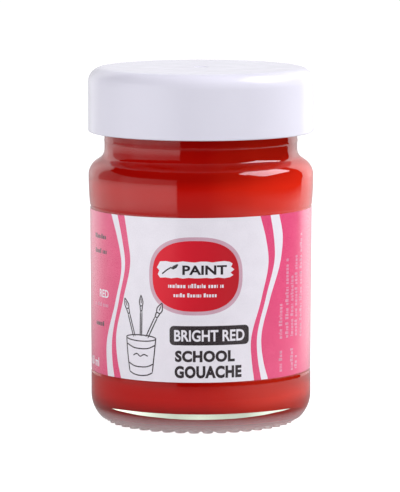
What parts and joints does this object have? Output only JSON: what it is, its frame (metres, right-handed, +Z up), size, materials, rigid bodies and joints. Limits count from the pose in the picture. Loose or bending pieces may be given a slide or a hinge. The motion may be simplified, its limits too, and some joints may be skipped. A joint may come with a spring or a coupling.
{
  "type": "paint jar",
  "caption": "Round screw-top glass jar of poster paint with a smooth moulded lid, a lined seal, a knurled foot and a wrap-round paper label.",
  "frame": {"origin": "centre of the jar's foot, on the plane that it stands on", "axes": "+Z up along the jar's axis, -Y is the middle of the label's front, +X is to its right as seen from the front"},
  "size_m": [0.046, 0.046, 0.0724],
  "materials": {
    "jar_glass": "gloss",
    "red_paint": "satin",
    "label_paper": "satin",
    "lid_plastic": "satin",
    "board": "matte",
    "liner_film": "gloss"
  },
  "bodies": {
    "jar": {"glass_jar": "jar_glass", "paint_fill": "red_paint", "wrap_label": "label_paper"},
    "liner": {"liner_board": "board", "liner_facing": "liner_film"},
    "lid": {"lid_shell": "lid_plastic"}
  },
  "joints": [
    {"name": "lid_lift", "type": "slide", "parent": "jar", "child": "liner", "axis": [0, 0, 1], "range_m": [0, 0.01693]},
    {"name": "lid_turn", "type": "hinge", "parent": "liner", "child": "lid", "pos_m": [0, 0, 0.065], "axis": [0, 0, 1], "range_deg": [0, 1440]}
  ],
  "couplings": [
    {"joint": "lid_lift", "follows": "lid_turn", "m_per_rad": 0.00067376}
  ]
}
